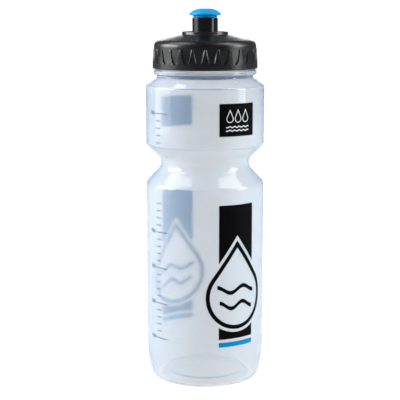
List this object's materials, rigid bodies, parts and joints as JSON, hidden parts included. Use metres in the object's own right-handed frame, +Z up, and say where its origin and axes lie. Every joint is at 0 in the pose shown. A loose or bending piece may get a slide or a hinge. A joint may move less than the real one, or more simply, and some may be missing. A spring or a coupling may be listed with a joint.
{
  "type": "bicycle water bottle",
  "caption": "Squeeze bottle for a bicycle cage: translucent waisted body, ribbed screw cap and a push-pull drinking nozzle.",
  "frame": {"origin": "centre of the base, on the plane that the bottle stands on", "axes": "+Z up along the bottle's axis towards the nozzle, -Y towards the front, where the printed column stands to the right of the middle, +X to the right seen from the front"},
  "size_m": [0.075, 0.075, 0.2362],
  "materials": {
    "squeezable_body": "satin, milky and translucent",
    "cap_moulding": "satin gloss",
    "valve_moulding": "polished",
    "soft_tip": "soft satin",
    "seal": "matte"
  },
  "bodies": {
    "bottle": {"bottle_body": "squeezable_body"},
    "seal": {"seal_ring": "seal"},
    "cap": {"screw_cap": "cap_moulding", "valve_housing": "valve_moulding", "valve_plug": "valve_moulding"},
    "nozzle": {"nozzle_stem": "valve_moulding", "mouthpiece": "soft_tip", "stem_o_ring": "seal"}
  },
  "joints": [
    {"name": "cap_lift", "type": "slide", "parent": "bottle", "child": "seal", "axis": [0, 0, 1], "range_m": [0, 0.017]},
    {"name": "cap_turn", "type": "hinge", "parent": "seal", "child": "cap", "pos_m": [0, 0, 0.2055], "axis": [0, 0, 1], "range_deg": [0, 1440]},
    {"name": "nozzle_pull", "type": "slide", "parent": "cap", "child": "nozzle", "axis": [0, 0, 1], "range_m": [0, 0.006]}
  ],
  "couplings": [
    {"joint": "cap_lift", "follows": "cap_turn", "m_per_rad": 0.00066845}
  ]
}
